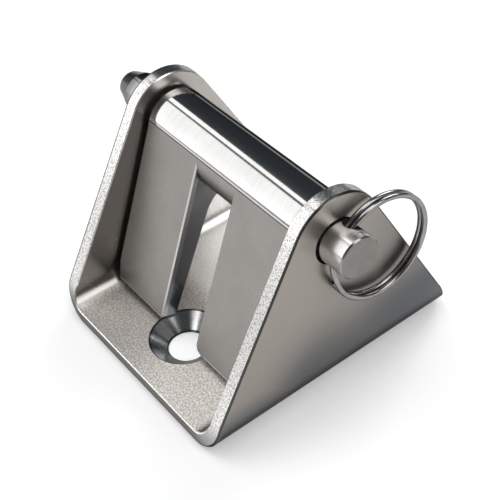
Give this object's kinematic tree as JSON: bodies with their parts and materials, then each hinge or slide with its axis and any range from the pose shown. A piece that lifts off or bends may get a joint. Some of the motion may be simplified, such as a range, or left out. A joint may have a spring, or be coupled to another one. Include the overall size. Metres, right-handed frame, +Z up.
{
  "type": "chain stopper",
  "caption": "Chain stopper for a boat's deck: a folded channel with ears, and a slotted flap that swings on a pull-out pin kept by a split ring.",
  "frame": {"origin": "on the underside of the base, straight below the pin's axis, midway between the ears", "axes": "+X across the channel towards the split ring, +Y along the chain from the flap's toe side to its open back, +Z up"},
  "size_m": [0.0678, 0.0548, 0.0419],
  "materials": {
    "channel_sheet": "satin stainless sheet with bright cut edges",
    "flap_casting": "satin leaf, polished sleeve",
    "pin_steel": "polished",
    "ring_wire": "bright spring wire"
  },
  "bodies": {
    "channel": {"body": "channel_sheet"},
    "flap": {"flap": "flap_casting"},
    "pin": {"pin": "pin_steel"},
    "ring": {"ring": "ring_wire"}
  },
  "joints": [
    {"name": "flap_swing", "type": "hinge", "parent": "channel", "child": "flap", "pos_m": [0, 0, 0.0329], "axis": [-1, 0, 0], "range_deg": [0, 296]},
    {"name": "pin_slide", "type": "slide", "parent": "channel", "child": "pin", "axis": [1, 0, 0], "range_m": [0, 0.0575]},
    {"name": "ring_swing", "type": "hinge", "parent": "pin", "child": "ring", "pos_m": [0.0269, 0, 0.0329], "axis": [0, -0.5446, -0.8387], "range_deg": [0, 180]}
  ]
}
